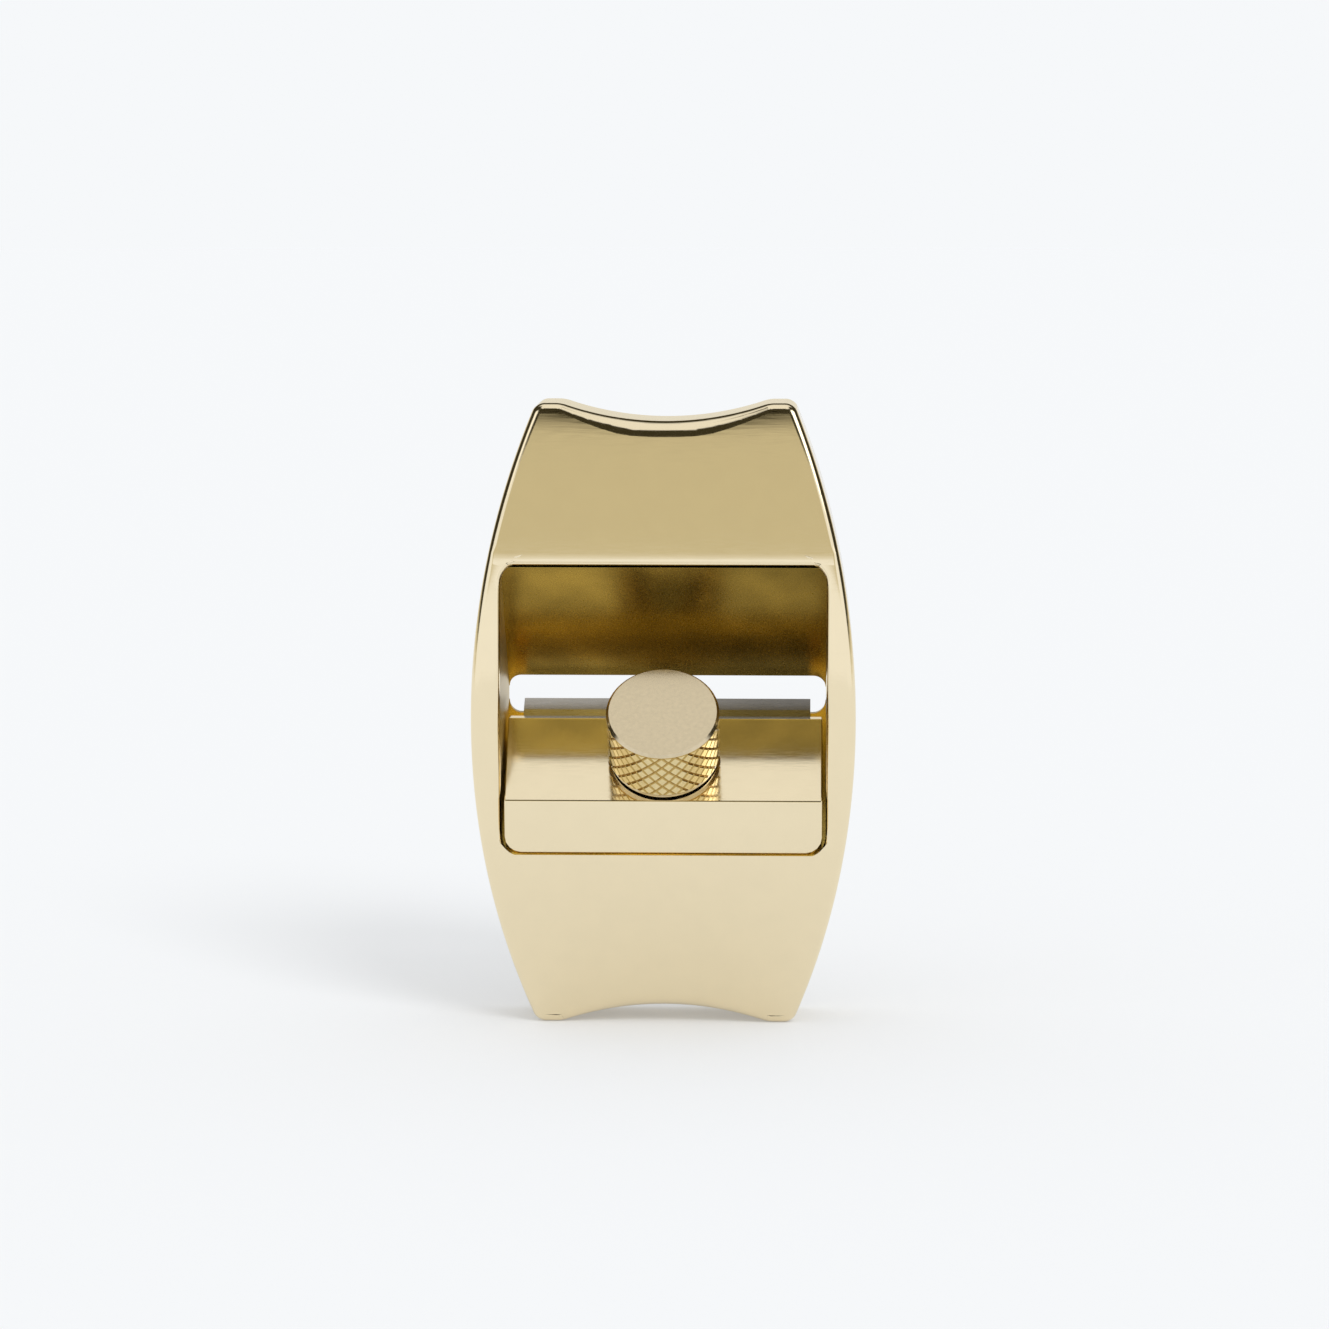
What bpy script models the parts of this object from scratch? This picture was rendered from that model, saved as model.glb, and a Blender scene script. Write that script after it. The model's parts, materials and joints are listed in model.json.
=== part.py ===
"""Pocket pencil plane: a solid brass body with a steel blade, a clamp block and a thumbscrew.

Everything is modelled with the plane lying on its sole: X across, Y from heel to toe, Z up
from the sole. An empty then stands the plane on its heel, so that in the world +Z runs from
heel to toe and the sole faces +Y. The origin is on the floor, below the middle of the width
and halfway between the sole and the thumbscrew's highest point.
"""

import math

import bmesh
import bpy
from mathutils import Matrix

# Body (metres)
LENGTH = 0.0600
WIDTH = 0.0367
THICKNESS = 0.0145
SIDE_RADIUS = 0.0785
TOP_RADIUS = 0.0820
SCALLOP_RADIUS = 0.0300
SCALLOP_DEPTH = 0.0017
HORN_RADIUS = 0.00125
HORN_BLEND = 0.0030
RIM_FILLET = 0.0010
SOLE_FILLET = 0.0003

# Throat and mouth
BED_ANGLE = math.radians(45)
MOUTH_HEEL = 0.0293
MOUTH_TOE = 0.0330
MOUTH_WEB = 0.0012
MOUTH_CORNER = 0.0012
WINDOW_WIDTH = 0.03105
WINDOW_HEEL = 0.01695
WINDOW_TOE = 0.0450
WINDOW_CORNER = 0.0019

# Blade, clamp and thumbscrew, measured along the bed and out from it
SCREW_ALONG = 0.0232
SEAT_GAP = 0.0001
SIDE_GAP = 0.00035
BLADE_WIDTH = 0.0280
BLADE_THICKNESS = 0.0005
BLADE_BACK = -0.0055
BLADE_BEVEL = 0.0018
BLADE_EDGE = 0.00003
BLADE_SLOT = 0.0048
BLADE_SLOT_END = 0.0034
TIP_ABOVE_SOLE = 0.00005
CLAMP_RISE = 0.00425
CLAMP_STEP = -0.0067
CLAMP_NOSE = 0.02945
CLAMP_RELIEF = 0.0060
CLAMP_BORE = 0.0023
WASHER_RADIUS = 0.0040
WASHER_BORE = 0.0021
WASHER_THICKNESS = 0.0003
KNOB_RADIUS = 0.0054
KNOB_HEIGHT = 0.0064
KNOB_CHAMFER = 0.0003
KNOB_SOCKET = 0.0042
STUD_RADIUS = 0.0020
STUD_REACH = 0.0070
STUD_FIT = 0.00005
TAPPED_BORE = 0.00208
TAPPED_DEPTH = 0.0082

# Facets
ARCH_STEPS = 24
CORNER_SEGMENTS = 4
FILLET_SEGMENTS = 3
ROUND_SIDES = 48

MIDDLE = LENGTH / 2
WASHER_BASE = CLAMP_RISE + SEAT_GAP
KNOB_BASE = WASHER_BASE + WASHER_THICKNESS + SEAT_GAP
KNOB_TOP = KNOB_BASE + KNOB_HEIGHT

# The bed is the plane along + height = BED_SUM, where it meets the mouth's web.
BED_SUM = MOUTH_HEEL + MOUTH_WEB
SCREW_HEIGHT = BED_SUM - SCREW_ALONG
KNOB_REACH = SCREW_HEIGHT + (KNOB_TOP + KNOB_RADIUS - KNOB_CHAMFER) * math.cos(BED_ANGLE)

# The bed's frame: Y down the bed to the mouth, Z out along the screw, from the screw's foot.
BED_FRAME = Matrix.Translation((0, SCREW_ALONG, SCREW_HEIGHT)) @ Matrix.Rotation(-BED_ANGLE, 4, "X")
STAND_UP = Matrix.Translation((0, KNOB_REACH / 2, 0)) @ Matrix.Rotation(math.pi / 2, 4, "X")


def clear_scene():
    for obj in list(bpy.data.objects):
        bpy.data.objects.remove(obj, do_unlink=True)


def new_material(name, colour, roughness):
    material = bpy.data.materials.new(name)
    material.use_nodes = True
    shader = material.node_tree.nodes["Principled BSDF"]
    shader.inputs["Base Color"].default_value = (*colour, 1.0)
    shader.inputs["Metallic"].default_value = 1.0
    shader.inputs["Roughness"].default_value = roughness
    material.diffuse_color = (*colour, 1.0)
    return material


def new_empty(name, place, parent=None):
    empty = bpy.data.objects.new(name, None)
    bpy.context.scene.collection.objects.link(empty)
    empty.parent = parent
    empty.matrix_basis = place
    return empty


def new_object(name, bm, parent, material=None):
    """A mesh object; without a material it is a cutter, left out of renders."""
    bmesh.ops.recalc_face_normals(bm, faces=bm.faces[:])
    mesh = bpy.data.meshes.new(name)
    bm.to_mesh(mesh)
    bm.free()
    obj = bpy.data.objects.new(name, mesh)
    bpy.context.scene.collection.objects.link(obj)
    obj.parent = parent
    if material:
        mesh.materials.append(material)
        mesh.shade_smooth()
        mesh.set_sharp_from_angle(angle=math.radians(30))
    else:
        obj.hide_render = True
        obj.display_type = "WIRE"
    return obj


def cut(obj, cutter):
    modifier = obj.modifiers.new(cutter.name, "BOOLEAN")
    modifier.operation = "DIFFERENCE"
    modifier.solver = "EXACT"
    modifier.object = cutter


def side_at(along):
    """Half the body's width at a distance from the heel."""
    return WIDTH / 2 - SIDE_RADIUS + math.sqrt(SIDE_RADIUS**2 - (along - MIDDLE) ** 2)


def top_at(along):
    """Height of the arched top at a distance from the heel."""
    return THICKNESS - TOP_RADIUS + math.sqrt(TOP_RADIUS**2 - (along - MIDDLE) ** 2)


def fillet_edges(bm, edges, size, segments):
    bmesh.ops.bevel(
        bm,
        geom=edges,
        offset=size,
        offset_type="OFFSET",
        affect="EDGES",
        segments=segments,
        profile=0.5,
        material=-1,
    )


def is_upright(edge):
    start, end = (vert.co for vert in edge.verts)
    return math.hypot(start.x - end.x, start.y - end.y) < 1e-7


def rim_edges(bm, is_rim_face):
    """Edges between the faces that the test picks and the rest."""
    return [edge for edge in bm.edges if sum(is_rim_face(face) for face in edge.link_faces) == 1]


def all_of(bm):
    return bm.verts[:] + bm.edges[:] + bm.faces[:]


def slice_off(bm, point, normal):
    """Removes all that lies on the normal's side of a plane, and closes the cut."""
    result = bmesh.ops.bisect_plane(
        bm, geom=all_of(bm), dist=1e-7, plane_co=point, plane_no=normal, clear_outer=True
    )
    rim = [item for item in result["geom_cut"] if isinstance(item, bmesh.types.BMEdge)]
    bmesh.ops.holes_fill(bm, edges=rim, sides=0)


def upright_box(half_width, heel, toe, low, high, corner):
    """A box with its four upright edges rounded."""
    bm = bmesh.new()
    bmesh.ops.create_cube(bm, size=1.0)
    bmesh.ops.scale(bm, vec=(2 * half_width, toe - heel, high - low), verts=bm.verts[:])
    bmesh.ops.translate(bm, vec=(0, (heel + toe) / 2, (low + high) / 2), verts=bm.verts[:])
    fillet_edges(bm, [edge for edge in bm.edges if is_upright(edge)], corner, CORNER_SEGMENTS)
    return bm


def raised_outline(outline, low, high):
    """A plan outline raised to a solid."""
    bm = bmesh.new()
    base = bm.faces.new([bm.verts.new((x, along, low)) for x, along in outline])
    raised = bmesh.ops.extrude_face_region(bm, geom=[base])
    lifted = [item for item in raised["geom"] if isinstance(item, bmesh.types.BMVert)]
    bmesh.ops.translate(bm, vec=(0, 0, high - low), verts=lifted)
    bmesh.ops.recalc_face_normals(bm, faces=bm.faces[:])
    return bm


def arch_the_top(bm):
    """Cuts the flat top face into crosswise strips and drops them to the arch."""
    for step in range(1, ARCH_STEPS):
        top = [face for face in bm.faces if face.calc_center_median().z > THICKNESS - 1e-6]
        edges = {edge for face in top for edge in face.edges}
        verts = {vert for face in top for vert in face.verts}
        along = LENGTH * step / ARCH_STEPS
        bmesh.ops.bisect_plane(
            bm,
            geom=[*verts, *edges, *top],
            dist=1e-6,
            plane_co=(0, along, 0),
            plane_no=(0, 1, 0),
        )
    for vert in bm.verts:
        if vert.co.z > THICKNESS - 1e-6:
            vert.co.z = top_at(vert.co.y)


def turned(profile, sides=ROUND_SIDES):
    """A closed solid of revolution about Z. The profile holds (radius, height) points."""
    bm = bmesh.new()
    verts = [bm.verts.new((radius, 0, height)) for radius, height in profile]
    pairs = zip(verts, verts[1:] + verts[:1])
    edges = [bm.edges.new(pair) for pair in pairs if pair[0].co.x or pair[1].co.x]
    bmesh.ops.spin(
        bm,
        geom=verts + edges,
        cent=(0, 0, 0),
        axis=(0, 0, 1),
        angle=math.tau,
        steps=sides,
        use_merge=True,
    )
    bmesh.ops.remove_doubles(bm, verts=bm.verts[:], dist=1e-7)
    return bm


def body_outline():
    """The plan outline, from the middle of the right side round by the toe and the heel."""
    step = LENGTH / ARCH_STEPS
    side = [(side_at(MIDDLE + n * step), MIDDLE + n * step) for n in range(ARCH_STEPS // 2 + 1)]
    centre = LENGTH - SCALLOP_DEPTH + SCALLOP_RADIUS
    half_angle = math.acos((centre - LENGTH) / SCALLOP_RADIUS)
    scallop = []
    for n in range(CORNER_SEGMENTS * 2 + 1):
        angle = half_angle * (1 - n / (CORNER_SEGMENTS * 2))
        scallop.append((SCALLOP_RADIUS * math.sin(angle), centre - SCALLOP_RADIUS * math.cos(angle)))
    quarter = side + scallop
    toe = quarter + [(-x, along) for x, along in reversed(quarter[:-1])]
    heel = [(-x, LENGTH - along) for x, along in toe[1:-1]]
    return toe + heel, scallop[0][0]


def body_blank():
    """The outline raised to the arch, with the horns and the rims rounded."""
    outline, horn_inside = body_outline()
    bm = raised_outline(outline, 0, THICKNESS)
    rounded = ((side_at(LENGTH), HORN_RADIUS), (horn_inside, HORN_BLEND))
    for across, radius in rounded:
        corners = []
        turns = []
        for edge in bm.edges:
            spot = edge.verts[0].co
            at_end = min(spot.y, LENGTH - spot.y) < 1e-7
            if is_upright(edge) and at_end and abs(abs(spot.x) - across) < 1e-7:
                corners.append(edge)
                turns.append(edge.calc_face_angle())
        fillet_edges(bm, corners, radius * math.tan(turns[0] / 2), CORNER_SEGMENTS)
    arch_the_top(bm)
    bm.normal_update()
    fillet_edges(bm, rim_edges(bm, lambda face: face.normal.z > 0.8), RIM_FILLET, FILLET_SEGMENTS)
    fillet_edges(bm, rim_edges(bm, lambda face: face.normal.z < -0.99), SOLE_FILLET, 1)
    return bm


def throat_space():
    """The V-shaped space in the window, above the bed and in front of the throat wall."""
    bm = upright_box(
        WINDOW_WIDTH / 2,
        WINDOW_HEEL,
        WINDOW_TOE,
        -THICKNESS,
        THICKNESS * 2,
        WINDOW_CORNER,
    )
    slice_off(bm, (0, MOUTH_HEEL, MOUTH_WEB), (0, -1, -1))
    slice_off(bm, (0, MOUTH_TOE, MOUTH_WEB), (0, 1, -1))
    return bm


def mouth_space():
    """The slot through the sole, a little narrower than the window above it."""
    return upright_box(
        WINDOW_WIDTH / 2 - SEAT_GAP / 2,
        MOUTH_HEEL,
        MOUTH_TOE,
        -MOUTH_WEB,
        MOUTH_WEB + SEAT_GAP,
        MOUTH_CORNER,
    )


def make_body(plane, screw_axis, brass):
    """The solid brass block, with the throat, the mouth and a blind tapped hole."""
    body = new_object("body", body_blank(), plane, brass)
    cut(body, new_object("throat_cutter", throat_space(), plane))
    cut(body, new_object("mouth_cutter", mouth_space(), plane))
    profile = [(0, CLAMP_RISE), (TAPPED_BORE, CLAMP_RISE), (TAPPED_BORE, -TAPPED_DEPTH), (0, -TAPPED_DEPTH)]
    cut(body, new_object("tapped_cutter", turned(profile), screw_axis))


def make_blade(screw_axis, steel):
    """A flat blade lying on the bed, bevelled at its tip and slotted for the screw."""
    tip = (SCREW_HEIGHT - TIP_ABOVE_SOLE) / math.sin(BED_ANGLE) + SEAT_GAP
    half = BLADE_WIDTH / 2
    slot_half = BLADE_SLOT / 2
    slot_centre = BLADE_SLOT_END - slot_half
    outline = [(slot_half, BLADE_BACK), (half, BLADE_BACK), (half, tip), (-half, tip)]
    outline += [(-half, BLADE_BACK), (-slot_half, BLADE_BACK)]
    slot_steps = ROUND_SIDES // 4
    for n in range(slot_steps + 1):
        angle = math.pi * (1 - n / slot_steps)
        outline.append((slot_half * math.cos(angle), slot_centre + slot_half * math.sin(angle)))
    bm = raised_outline(outline, SEAT_GAP, SEAT_GAP + BLADE_THICKNESS)
    drop = BLADE_THICKNESS - BLADE_EDGE
    slice_off(bm, (0, tip, SEAT_GAP + BLADE_EDGE), (0, drop, BLADE_BEVEL))
    new_object("blade", bm, screw_axis, steel)


def make_clamp(screw_axis, brass):
    """The block that fills the window behind the screw, flush with the arched top."""
    bm = upright_box(
        WINDOW_WIDTH / 2 - SIDE_GAP,
        WINDOW_HEEL + SIDE_GAP,
        WINDOW_TOE,
        0,
        THICKNESS,
        WINDOW_CORNER - SIDE_GAP,
    )
    arch_the_top(bm)
    slice_off(bm, (0, CLAMP_NOSE, 0), (0, 1, 0))
    bm.transform(BED_FRAME.inverted())
    slice_off(bm, (0, CLAMP_RELIEF, 0), (0, 1, 0))
    slice_off(bm, (0, 0, CLAMP_RISE), (0, 0, 1))
    slice_off(bm, (0, 0, SEAT_GAP), (0, 0, -1))
    clamp = new_object("clamp", bm, screw_axis, brass)

    seat = SEAT_GAP * 2 + BLADE_THICKNESS
    recess = upright_box(WINDOW_WIDTH, CLAMP_STEP, CLAMP_NOSE, -seat, seat, SIDE_GAP)
    cut(clamp, new_object("blade_recess_cutter", recess, screw_axis))
    profile = [(0, LENGTH), (CLAMP_BORE, LENGTH), (CLAMP_BORE, -seat), (0, -seat)]
    cut(clamp, new_object("clamp_bore_cutter", turned(profile), screw_axis))


def make_washer(screw_axis, brass):
    base = WASHER_BASE
    top = base + WASHER_THICKNESS
    profile = [(WASHER_RADIUS, top), (WASHER_RADIUS, base), (WASHER_BORE, base), (WASHER_BORE, top)]
    new_object("washer", turned(profile), screw_axis, brass)


def make_knob(screw_axis, brass):
    """The knob, with a blind socket below for the stud."""
    socket = STUD_RADIUS + STUD_FIT
    profile = [
        (0, KNOB_TOP),
        (KNOB_RADIUS - KNOB_CHAMFER, KNOB_TOP),
        (KNOB_RADIUS, KNOB_TOP - KNOB_CHAMFER),
        (KNOB_RADIUS, KNOB_BASE + KNOB_CHAMFER),
        (KNOB_RADIUS - KNOB_CHAMFER, KNOB_BASE),
        (socket, KNOB_BASE),
        (socket, KNOB_BASE + KNOB_SOCKET),
        (0, KNOB_BASE + KNOB_SOCKET),
    ]
    new_object("knob", turned(profile), screw_axis, brass)


def make_stud(screw_axis, steel):
    """The screw's shank, from the knob's socket down into the tapped hole."""
    top = KNOB_BASE + KNOB_SOCKET - SEAT_GAP
    profile = [
        (0, top),
        (STUD_RADIUS, top),
        (STUD_RADIUS, KNOB_CHAMFER - STUD_REACH),
        (STUD_RADIUS - KNOB_CHAMFER, -STUD_REACH),
        (0, -STUD_REACH),
    ]
    new_object("stud", turned(profile), screw_axis, steel)


def main():
    clear_scene()
    brass = new_material("brass", (0.78, 0.60, 0.34), 0.22)
    steel = new_material("blade_steel", (0.42, 0.41, 0.40), 0.32)

    plane = new_empty("plane", STAND_UP)
    screw_axis = new_empty("screw_axis", BED_FRAME, plane)
    make_body(plane, screw_axis, brass)
    make_blade(screw_axis, steel)
    make_clamp(screw_axis, brass)
    make_washer(screw_axis, brass)
    make_knob(screw_axis, brass)
    make_stud(screw_axis, steel)


main()
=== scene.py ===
"""The looks of a pocket pencil plane: polished brass body and clamp, ground blade, knurled knob.

It is laid out as an add-on and run as a script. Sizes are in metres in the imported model's frame:
the plane stands on its heel, +Z from heel to toe, the sole towards +Y and the knob towards -Y.
"""

import json
import math

import bmesh
import bpy
from bpy.props import FloatProperty, FloatVectorProperty, IntProperty, PointerProperty
from mathutils import Matrix, Vector


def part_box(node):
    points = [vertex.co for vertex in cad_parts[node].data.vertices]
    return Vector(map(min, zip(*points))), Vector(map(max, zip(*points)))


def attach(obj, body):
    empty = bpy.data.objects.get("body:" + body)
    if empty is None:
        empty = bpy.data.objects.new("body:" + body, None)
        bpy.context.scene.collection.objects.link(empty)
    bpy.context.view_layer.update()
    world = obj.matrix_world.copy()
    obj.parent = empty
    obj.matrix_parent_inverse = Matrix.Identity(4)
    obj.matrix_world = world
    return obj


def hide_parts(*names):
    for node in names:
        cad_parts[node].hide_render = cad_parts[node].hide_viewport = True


bl_info = {
    "name": "Pencil plane",
    "version": (1, 0, 0),
    "blender": (4, 5, 0),
    "location": "3D View > Sidebar > Pencil plane",
    "description": "Builds the finished surfaces of a brass pencil plane around its packed frame",
    "category": "Object",
}

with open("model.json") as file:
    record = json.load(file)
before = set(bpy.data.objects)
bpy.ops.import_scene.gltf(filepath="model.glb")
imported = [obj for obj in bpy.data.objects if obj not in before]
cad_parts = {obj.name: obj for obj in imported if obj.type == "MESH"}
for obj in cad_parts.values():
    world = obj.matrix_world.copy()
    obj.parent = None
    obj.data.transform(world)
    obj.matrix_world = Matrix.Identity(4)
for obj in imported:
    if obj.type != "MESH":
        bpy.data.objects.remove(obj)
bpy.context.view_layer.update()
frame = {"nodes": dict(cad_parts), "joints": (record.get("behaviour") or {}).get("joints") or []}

BODY_LOW, BODY_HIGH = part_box("body")
LENGTH = BODY_HIGH.z - BODY_LOW.z
MIDDLE = LENGTH / 2
SCREW = next(joint for joint in frame["joints"] if joint["name"] == "screw_turn")
BED_ANGLE = math.radians(45)

# Two working frames. Lying: X across, Y from heel to toe, Z up from the sole.
# Bed: X across, Y down the bed to the mouth, Z out along the screw, from the screw's foot.
STAND_UP = Matrix.Translation((0, BODY_HIGH.y, 0)) @ Matrix.Rotation(math.pi / 2, 4, "X")
BED_FRAME = Matrix.Translation(SCREW["pos_m"]) @ Matrix.Rotation(BED_ANGLE, 4, "X")

# The sides are drawn in steps. The arch is first drawn coarsely, between these numbered steps,
# which keep clear of the window's corners, and then in as many fine steps as ARCH_STEPS.
SIDE_STEPS = 32
ARCH_MARKS = (0, 7, 13, 17, 22, 27, 32, 39, 45, 49, 53, 58, 64)
ARCH_STEPS = 120

# The scallops' wide rounding narrows to the sides' over END_TAPER. The rounding of the rails
# beside the window goes on past its corners by RAIL_ENDS.
END_TAPER = 0.006
RAIL_ENDS = 0.002

# Places in the lists of materials of the body and the knob.
# The body's milled and brushed faces in the throat take darker brass, painted shade of the throat.
POLISHED, MILLED_AND_SHADED, BRUSHED_AND_SHADED = 0, 1, 2
# The knob's groove brass is a darker copy, painted shade in the knurl's grooves.
TURNED, KNURL, SHADED_GROOVE = 0, 1, 2

# Colours of the studio: the backdrop, and the panels that only the metal mirrors.
PLAIN = (0.922, 0.938, 0.955)
WHITE = (1.0, 1.02, 1.06)
PALE = (0.95, 0.95, 0.95)
CREAM = (0.80, 0.75, 0.62)
TAN = (0.65, 0.60, 0.44)
DARK = (0.040, 0.034, 0.016)

# The panels by height, as angles above the horizon in degrees, for four ways that the metal
# can mirror: to the front, halfway to the side, to the side and to the back.
FRONT = [(-90, WHITE), (13, WHITE), (17, TAN), (36, TAN), (38, DARK), (73, DARK), (77, PALE)]
BESIDE = [(-90, WHITE), (20, WHITE), (34, PALE), (40, DARK), (70, DARK), (76, PALE)]
EDGE_ON = [(-90, PALE), (-2, PALE), (4, TAN), (8, DARK), (70, DARK), (76, PALE)]
BEHIND = [(-90, WHITE), (-2, CREAM), (16, CREAM), (22, DARK), (48, DARK), (60, PALE)]

# Each later set of panels takes over between two cosines of the turn away from the front.
TURNS = ((BESIDE, 0.90, 0.84), (EDGE_ON, 0.35, 0.20), (BEHIND, -0.6, -0.8))

# Two lamps that give the knurl its highlights: direction, cosine of their edge, and brightness.
LAMPS = (((0.63, -0.28, 0.72), 0.93, 2.5), ((-0.65, -0.31, 0.69), 0.945, 1.25))
LAMP_SOFTNESS = 0.05


# ---------------------------------------------------------------- settings


def length(name, default, description):
    """A setting for a length in metres."""
    return FloatProperty(
        name=name, description=description, default=default, min=0.0, unit="LENGTH", precision=5
    )


def colour(name, default, description):
    """A setting for a finish's colour."""
    return FloatVectorProperty(
        name=name, description=description, default=default, subtype="COLOR", min=0.0, max=1.0
    )


class BodySizes(bpy.types.PropertyGroup):
    side_radius: length("Side radius", 0.0785, "Radius of the barrel-shaped sides, seen from above")
    top_radius: length("Top radius", 0.0820, "Radius of the arched top, heel to toe")
    scallop_radius: length("Scallop radius", 0.0300, "Radius of the finger scallops at both ends")
    scallop_depth: length("Scallop depth", 0.0017, "How far the scallops go in")
    horn_radius: length("Horn radius", 0.00125, "Outer corners of the horns")
    horn_blend: length("Horn blend", 0.0030, "Radius between a horn's tip and its scallop")
    side_fillet: length("Side rounding", 0.0008, "Rounding of the top's rim along the sides")
    end_fillet: length("End rounding", 0.0016, "Rounding of the top's rim in the scallops")
    sole_fillet: length("Sole rounding", 0.0003, "Rounding of the sole's rim")
    window_width: length("Window width", 0.03105, "Width of the window in the top")
    window_heel: length("Window heel end", 0.01695, "From the heel to the window")
    window_toe: length("Window toe end", 0.0450, "From the heel to the window's far end")
    window_corner: length("Window corners", 0.0019, "Radius of the window's corners")
    window_fillet: length("Window rounding", 0.0006, "Rounding of the window's rim")
    mouth_heel: length("Mouth heel side", 0.0293, "From the heel to the mouth")
    mouth_toe: length("Mouth toe side", 0.0330, "From the heel to the mouth's far side")
    mouth_web: length("Mouth web", 0.0012, "Thickness of the sole at the mouth")
    mouth_corner: length("Mouth corners", 0.0012, "Radius of the mouth's corners")


class ClampSizes(bpy.types.PropertyGroup):
    edge_fillet: length("Edge rounding", 0.00014, "Rounding of the clamp's edges")


class KnobSizes(bpy.types.PropertyGroup):
    diamonds: IntProperty(
        name="Diamonds round", description="Knurl diamonds round the knob", default=26, min=8
    )
    rows: IntProperty(
        name="Diamond rows", description="Knurl diamonds up the knob", default=4, min=2
    )
    knurl_depth: length("Knurl depth", 0.00016, "From the diamonds' flats to the grooves")
    knurl_slope: length("Knurl slope", 0.00013, "Width of a groove's slope")
    chamfer: length("Chamfer", 0.00025, "Chamfer at the knob's top and bottom")
    foot: length("Foot", 0.00022, "How far the knob's foot goes down round the washer")


class Finishes(bpy.types.PropertyGroup):
    brass: colour("Brass", (0.875, 0.755, 0.520), "Polished brass")
    knob: colour("Knob brass", (0.70, 0.59, 0.40), "Brass of the knob, a little duller")
    knurl: colour("Knurl brass", (0.86, 0.72, 0.40), "Brass of the knurl's diamonds")
    # Painted shade: the grooves' brass is made darker to stand for the shade in the knurl's
    # creases.
    groove: colour("Groove brass", (0.50, 0.34, 0.11), "Darkened brass in the knurl's grooves")
    # Painted shade: the milled brass is made dark to stand for the shade in the throat.
    milled_and_shaded: colour("Machined brass", (0.40, 0.29, 0.07), "Brass left as milled in the throat")
    # Painted shade: the throat's side walls are made darker to stand for the dark gaps beside the
    # clamp.
    shaded_throat_side: colour("Throat side", (0.60, 0.48, 0.25), "Brass of the throat's side walls")
    steel: colour("Blade steel", (0.41, 0.385, 0.345), "Ground blade steel")
    screw_steel: colour("Screw steel", (0.50, 0.49, 0.47), "Turned screw steel")
    floor: colour("Floor", (0.61, 0.61, 0.61), "Matt floor")


class StageSizes(bpy.types.PropertyGroup):
    distance: length("Camera distance", 0.4638, "From the middle of the plane to the camera")
    azimuth: FloatProperty(
        name="Camera azimuth",
        description="Camera's turn to the right of square on",
        default=math.radians(1.81),
        subtype="ANGLE",
    )
    elevation: FloatProperty(
        name="Camera elevation",
        description="Camera's height as an angle from the middle of the plane",
        default=math.radians(6.97),
        subtype="ANGLE",
    )
    tilt: FloatProperty(
        name="Camera tilt",
        description="How far the camera looks down",
        default=math.radians(6.36),
        subtype="ANGLE",
    )
    lens: FloatProperty(
        name="Lens", description="Focal length in millimetres", default=130.7, min=10.0
    )
    floor_radius: length("Floor radius", 3.0, "Radius of the floor")
    key_power: FloatProperty(
        name="Key light", description="Strength of the key light", default=1.20, min=0.0
    )
    key_azimuth: FloatProperty(
        name="Key azimuth",
        description="Key light's turn to the right of square on",
        default=math.radians(30),
        subtype="ANGLE",
    )
    key_elevation: FloatProperty(
        name="Key elevation",
        description="Key light's height as an angle",
        default=math.radians(38),
        subtype="ANGLE",
    )
    key_angle: FloatProperty(
        name="Key softness",
        description="Width of the key light as an angle",
        default=math.radians(22),
        subtype="ANGLE",
    )


# ---------------------------------------------------------------- mesh helpers


def side_at(along, sizes):
    """Half the body's width at a distance from the heel."""
    half = (BODY_HIGH.x - BODY_LOW.x) / 2
    radius = sizes.side_radius
    return half - radius + math.sqrt(radius**2 - (along - MIDDLE) ** 2)


def top_at(along, sizes):
    """Height of the arched top above the sole at a distance from the heel."""
    thickness = BODY_HIGH.y - BODY_LOW.y
    radius = sizes.top_radius
    return thickness - radius + math.sqrt(radius**2 - (along - MIDDLE) ** 2)


def fillet(bm, edges, size, segments):
    """Rounds edges by the same size."""
    result = bmesh.ops.bevel(
        bm,
        geom=edges,
        offset=size,
        offset_type="OFFSET",
        affect="EDGES",
        segments=segments,
        profile=0.5,
        material=-1,
    )
    return result["faces"]


def is_upright(edge):
    """Whether an edge of the lying solid runs straight up."""
    start, end = (vert.co for vert in edge.verts)
    return math.hypot(start.x - end.x, start.y - end.y) < 1e-7


def slice_off(bm, point, normal):
    """Removes all that lies on the normal's side of a plane, and closes the cut."""
    geom = bm.verts[:] + bm.edges[:] + bm.faces[:]
    result = bmesh.ops.bisect_plane(
        bm, geom=geom, dist=1e-7, plane_co=point, plane_no=normal, clear_outer=True
    )
    rim = [item for item in result["geom_cut"] if isinstance(item, bmesh.types.BMEdge)]
    bmesh.ops.holes_fill(bm, edges=rim, sides=0)


def score_across(bm, faces, spots):
    """Cuts crosswise lines into the given faces only, at distances from the heel."""
    for along in spots:
        crossed, missed = [], []
        for face in faces:
            reach = [vert.co.y for vert in face.verts]
            group = crossed if min(reach) < along < max(reach) else missed
            group.append(face)
        if not crossed:
            continue
        # These keep their order, and a set's order changes from run to run.
        edges = dict.fromkeys(edge for face in crossed for edge in face.edges)
        verts = dict.fromkeys(vert for face in crossed for vert in face.verts)
        result = bmesh.ops.bisect_plane(
            bm,
            geom=[*verts, *edges, *crossed],
            dist=1e-6,
            plane_co=(0, along, 0),
            plane_no=(0, 1, 0),
        )
        faces = missed + [item for item in result["geom"] if isinstance(item, bmesh.types.BMFace)]


def upright_box(half_width, heel, toe, low, high, corner, segments):
    """A box with its four upright edges rounded."""
    bm = bmesh.new()
    bmesh.ops.create_cube(bm, size=1.0)
    bmesh.ops.scale(bm, vec=(2 * half_width, toe - heel, high - low), verts=bm.verts[:])
    bmesh.ops.translate(bm, vec=(0, (heel + toe) / 2, (low + high) / 2), verts=bm.verts[:])
    fillet(bm, [edge for edge in bm.edges if is_upright(edge)], corner, segments)
    return bm


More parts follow.
